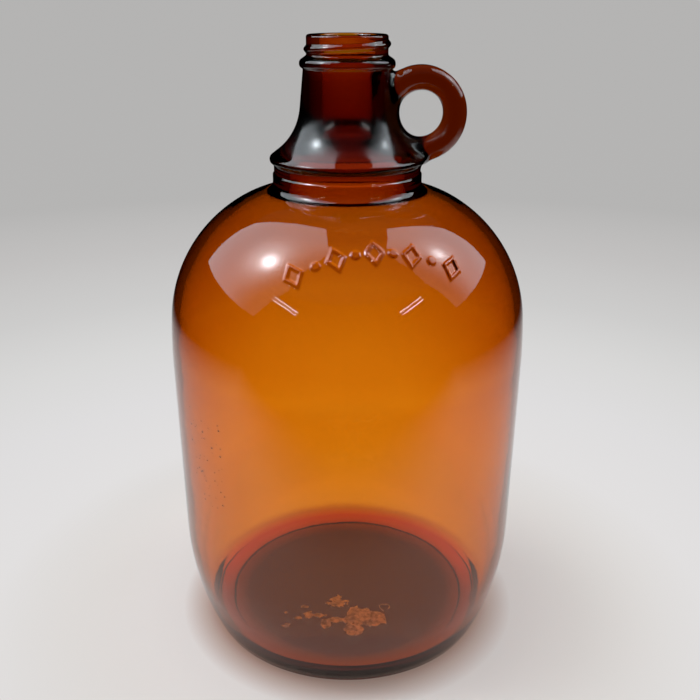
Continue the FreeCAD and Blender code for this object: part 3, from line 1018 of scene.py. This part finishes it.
# For some rays the paper is stronger than its own tone, which real paper isn't. A plain studio has
# 0 for these two strengths and 1 for the backlight setting
GATHERED = 1.25                         # added behind the foot, for all rays that see the glow
SCATTERED = 2.0                         # added for light that bounced inside the jug
GATHERED_BEHIND, GATHERED_FROM, GATHERED_TO = (-0.02, 0.03), (0.0622, 0.0642), (0.068, 0.082)
DARK_FRONT, DARK_FAR = (0.14, 0.34), (0.4, 0.75)    # where the mirrored paper fades out
ROOM_DIMMED = 0.9                       # how much less of the room the glass mirrors
GLOW_BY_JUG, ALL_GLOW = 0.42, (0.09, 0.18)  # share of glow next to the jug, and where it is all glow
TWO_WALLS, ANY_GLASS = 2.5, 0.5         # surfaces passed through, as thresholds


def sweep_material(settings):
    """Pale paper: partly lit and shaded near the jug, and glowing in a set grey further off."""
    material, nodes, links, shader = node_material("pale_paper")
    sums = NodeSums(material.node_tree)
    run = sums.add("ShaderNodeAttribute", attribute_name="run").outputs["Fac"]
    path = nodes.new("ShaderNodeLightPath").outputs
    # the paper's colour carries the painted shade under the jug and the painted amber glow round its
    # foot
    links.new(sums.ramp(run, PAINTED_FOOT_GLOW_TONES), shader.inputs["Base Color"])
    shader.inputs["Roughness"].default_value = 0.9

    through_walls = sums.math("GREATER_THAN", path["Transmission Depth"], TWO_WALLS)
    backlight = sums.math("ADD", 1, sums.math("MULTIPLY", through_walls, settings.backlight - 1))
    shaded = sums.ramp(run, FOOT_SHADE)
    back = sums.split(nodes.new("ShaderNodeTexCoord").outputs["Object"])["Y"]
    forward = sums.math("MULTIPLY", back, -1)
    dark_room = sums.math("MAXIMUM", sums.smooth(forward, *DARK_FRONT), sums.smooth(run, *DARK_FAR))
    mirrored = sums.math("SUBTRACT", 1, sums.math("MULTIPLY", dark_room, mirror_ray(sums, path)))
    round_foot = sums.math("SUBTRACT", sums.smooth(run, *GATHERED_FROM),
                           sums.smooth(run, *GATHERED_TO))
    gathered = sums.math("MULTIPLY", sums.smooth(back, *GATHERED_BEHIND), round_foot)
    bounced = sums.math("GREATER_THAN", path["Diffuse Depth"], 0.5)
    scattered = sums.math("MULTIPLY", through_walls, bounced)
    added = sums.math("ADD", sums.math("ADD", 1, sums.math("MULTIPLY", gathered, GATHERED)),
                      sums.math("MULTIPLY", scattered, SCATTERED))
    strength = sums.math("MULTIPLY", sums.math("MULTIPLY", backlight, mirrored), added)

    tint = sums.add("ShaderNodeVectorMath", operation="MULTIPLY")
    links.new(sums.ramp(run, PAPER_TONES), tint.inputs[0])
    links.new(shaded, tint.inputs[1])
    glow = nodes.new("ShaderNodeEmission")
    links.new(tint.outputs[0], glow.inputs["Color"])
    links.new(strength, glow.inputs["Strength"])
    seen = sums.math("MAXIMUM", path["Is Camera Ray"],
                     sums.math("MAXIMUM", path["Is Transmission Ray"], path["Is Glossy Ray"]))
    through_glass = sums.math("GREATER_THAN", path["Transmission Depth"], ANY_GLASS)
    own_glow = sums.math("ADD", GLOW_BY_JUG,
                         sums.math("MULTIPLY", sums.smooth(run, *ALL_GLOW), 1 - GLOW_BY_JUG))
    fade = sums.math("MAXIMUM", own_glow, through_glass)
    mix = nodes.new("ShaderNodeMixShader")
    links.new(sums.math("MULTIPLY", seen, fade), mix.inputs[0])
    links.new(shader.outputs[0], mix.inputs[1])
    links.new(glow.outputs[0], mix.inputs[2])
    links.new(mix.outputs[0], nodes["Material Output"].inputs["Surface"])
    return material


def sweep_mesh(flat_radius, bend_radius, height):
    """Round floor that curves up into a wall, with the distance run stored on it."""
    run = [(flat_radius * i / 24, 0.0) for i in range(1, 25)]
    run += [(flat_radius + bend_radius * sin(a), bend_radius * (1 - cos(a))) for a in range(6, 91, 6)]
    run += [(flat_radius + bend_radius, bend_radius + height)]
    columns = 96
    places = [(0, 0, 0)]
    for radius, level in run:
        places += [(radius * cos(360 * c / columns), radius * sin(360 * c / columns), level)
                   for c in range(columns)]
    faces = [(0, 1 + c, 1 + (c + 1) % columns) for c in range(columns)]
    for row in range(len(run) - 1):
        low, high = 1 + row * columns, 1 + (row + 1) * columns
        faces += [(low + c, high + c, high + (c + 1) % columns, low + (c + 1) % columns)
                  for c in range(columns)]
    mesh = bpy.data.meshes.new("studio_sweep")
    mesh.from_pydata(places, [], faces)
    lengths = [0.0]
    for before, after in zip([(0.0, 0.0)] + run, run):
        lengths.append(lengths[-1] + math.dist(before, after))
    run = [0.0] + [length for length in lengths[1:] for _ in range(columns)]
    store = mesh.attributes.new("run", "FLOAT", "POINT")
    store.data.foreach_set("value", np.array(run, np.float32))
    mesh.shade_smooth()
    return mesh


SHOULDER = Vector((0, 0, TOP * 0.7))    # what the lamps face


def direction(around, elevation):
    """Unit vector at an angle round from the front and one up from level."""
    return Vector((sin(around) * cos(elevation), -cos(around) * cos(elevation), sin(elevation)))


def lamp_holder(name, lamp, place, facing):
    """Puts a lamp in the scene: it lights the jug and shows in it, but isn't seen itself."""
    holder = bpy.data.objects.new(name, lamp)
    holder.matrix_world = Matrix.Translation(place) @ facing.to_4x4()
    holder.visible_camera = False
    holder.visible_transmission = False
    bpy.context.scene.collection.objects.link(holder)
    return holder


def soft_box(name, around, elevation, distance, width, height, radiance, taper, hot, hot_side,
             dim_side):
    """Soft lamp that faces the shoulder: its top tapers, its bulb glows and one side is dimmer."""
    lamp = bpy.data.lights.new(name, "AREA")
    lamp.shape = "RECTANGLE"
    lamp.size, lamp.size_y = width, height
    lamp.energy = 4 * radiance * width * height
    lamp.color = (0.86, 0.94, 1.0)
    lamp.use_nodes = True
    nodes, links = lamp.node_tree.nodes, lamp.node_tree.links
    sums = NodeSums(lamp.node_tree)
    face = sums.split(nodes.new("ShaderNodeNewGeometry").outputs["Parametric"])
    side = sums.math("SUBTRACT", sums.math("MULTIPLY", face["X"], 2), 1)
    across = sums.math("ABSOLUTE", side)
    up = sums.math("SUBTRACT", sums.math("MULTIPLY", face["Y"], 2), 1)
    edge = sums.math("SUBTRACT", 1, sums.math("MULTIPLY", sums.math("MAXIMUM", up, 0), taper))
    inside = sums.math("LESS_THAN", across, edge)
    aside = sums.math("SUBTRACT", side, hot_side)
    middle = sums.math("ADD", sums.math("MULTIPLY", aside, aside), sums.math("MULTIPLY", up, up))
    glow = sums.math("MULTIPLY", sums.math("EXPONENT", sums.math("MULTIPLY", middle, -7)), 0.25 * hot)
    bulb = sums.math("MULTIPLY", sums.math("EXPONENT", sums.math("MULTIPLY", middle, -60)), hot)
    dim = sums.math("MULTIPLY", sums.smooth(sums.math("MULTIPLY", side, dim_side), -0.1, 0.8), 0.8)
    even = sums.math("MULTIPLY", sums.math("SUBTRACT", 1, dim), sums.math("ADD", 0.8, glow))
    strength = sums.math("MULTIPLY", inside, sums.math("ADD", even, bulb))
    links.new(strength, nodes["Emission"].inputs["Strength"])
    way = direction(around, elevation)
    return lamp_holder(name, lamp, SHOULDER + way * distance, way.to_track_quat("Z", "Y").to_matrix())


def strip_lamp(name, start, end, distance, width, radiance, shift):
    """Thin tube of light between two directions (around, elevation), moved sideways by a shift."""
    ends = [SHOULDER + direction(*place) * distance for place in (start, end)]
    along, middle = ends[1] - ends[0], (ends[0] + ends[1]) / 2
    lamp = bpy.data.lights.new(name, "AREA")
    lamp.shape = "RECTANGLE"
    lamp.size, lamp.size_y = along.length, width
    lamp.energy = 4 * radiance * along.length * width
    x = along.normalized()
    z = (middle - SHOULDER).normalized()
    y = z.cross(x).normalized()
    facing = Matrix((x, y, x.cross(y))).transposed()
    return lamp_holder(name, lamp, middle + y * shift, facing)


LAMP_DISTANCE = 0.85
SOFT_BOXES = {
    "soft_box_left": {"around": -91, "elevation": 50, "width": 1.08, "height": 1.02,
                      "taper": 0.6, "hot": 8.0, "hot_side": 0.18, "dim_side": 1},
    "soft_box_right": {"around": 97, "elevation": 45, "width": 0.78, "height": 0.86,
                       "taper": 0.45, "hot": 3.2, "hot_side": 0.0, "dim_side": -1}}
STRIPS = {"strip_lamp_left": ((-52.2, 31.9), (-33.1, 26.3)),
          "strip_lamp_right": ((53.5, 31.7), (35.4, 26.0))}
STRIP_SHIFT, STRIP_WIDTH, STRIP_RADIANCE = 0.016, 0.005, 18
CAMERA_PLACE, CAMERA_TILT = (0, -0.39304, 0.30095), 25.1    # tilt in degrees below level
SENSOR_WIDTH, CAMERA_LENS, CAMERA_SHIFT = 36, 44.51, (0.0039, 0.0714)


class JUG_OT_studio(bpy.types.Operator):
    """Make the pale floor and backdrop, soft boxes, strip lamps, the world and the camera"""
    bl_idname = "jug.studio"
    bl_label = "Studio"

    def execute(self, context):
        settings = context.scene.jug_studio
        sweep = new_object("studio_sweep", sweep_mesh(1.5, 1.2, 1.2))
        sweep.data.materials.append(sweep_material(settings))
        for name, box in SOFT_BOXES.items():
            soft_box(name, distance=LAMP_DISTANCE, radiance=settings.lamp_strength, **box)
        for shift in (-STRIP_SHIFT, STRIP_SHIFT):
            for name, ends in STRIPS.items():
                strip_lamp(name, *ends, LAMP_DISTANCE, STRIP_WIDTH, STRIP_RADIANCE, shift)
        world = bpy.data.worlds.new("studio_world")
        context.scene.world = world
        world.use_nodes = True
        sums = NodeSums(world.node_tree)
        path = world.node_tree.nodes.new("ShaderNodeLightPath").outputs
        dim = sums.math("SUBTRACT", 1, sums.math("MULTIPLY", mirror_ray(sums, path), ROOM_DIMMED))
        background = world.node_tree.nodes["Background"].inputs
        background["Color"].default_value = (0.9, 0.95, 1.0, 1)
        sums.link(sums.math("MULTIPLY", dim, settings.world_strength), background["Strength"])
        camera = bpy.data.cameras.new("camera")
        camera.sensor_width, camera.lens = SENSOR_WIDTH, CAMERA_LENS
        camera.shift_x, camera.shift_y = CAMERA_SHIFT
        camera.clip_start, camera.clip_end = 0.01, 20
        holder = bpy.data.objects.new("camera", camera)
        holder.location = CAMERA_PLACE
        holder.rotation_euler = Euler((math.radians(90 - CAMERA_TILT), 0, 0))
        context.scene.collection.objects.link(holder)
        context.scene.camera = holder
        context.scene.view_settings.view_transform = "Standard"
        return {"FINISHED"}


class JUG_PT_panel(bpy.types.Panel):
    """The jug's operators and settings."""
    bl_label = "Amber Glass Jug"
    bl_space_type = "VIEW_3D"
    bl_region_type = "UI"
    bl_category = "Jug"

    def draw(self, context):
        for operator, settings in PIECES:
            box = self.layout.box()
            box.operator(operator)
            for name in settings:
                group = getattr(context.scene, name)
                for key in type(group).__annotations__:
                    box.prop(group, key)


PIECES = (("jug.glass", ("jug_shape", "jug_band", "jug_thread", "jug_glass")),
          ("jug.residue", ("jug_residue",)), ("jug.studio", ("jug_studio",)))
SETTINGS = {"jug_shape": JugShape, "jug_band": JugBand, "jug_thread": JugThread,
            "jug_glass": JugGlass,
            "jug_residue": JugResidue, "jug_studio": JugStudio}
CLASSES = (*SETTINGS.values(), JUG_OT_glass, JUG_OT_residue, JUG_OT_studio, JUG_PT_panel)


def register():
    for cls in CLASSES:
        bpy.utils.register_class(cls)
    for name, group in SETTINGS.items():
        setattr(bpy.types.Scene, name, PointerProperty(type=group))


def unregister():
    for name in SETTINGS:
        delattr(bpy.types.Scene, name)
    for cls in reversed(CLASSES):
        bpy.utils.unregister_class(cls)


def main():
    register()
    bpy.ops.jug.glass()
    bpy.ops.jug.residue()
    bpy.ops.jug.studio()


if __name__ == "__main__":
    main()
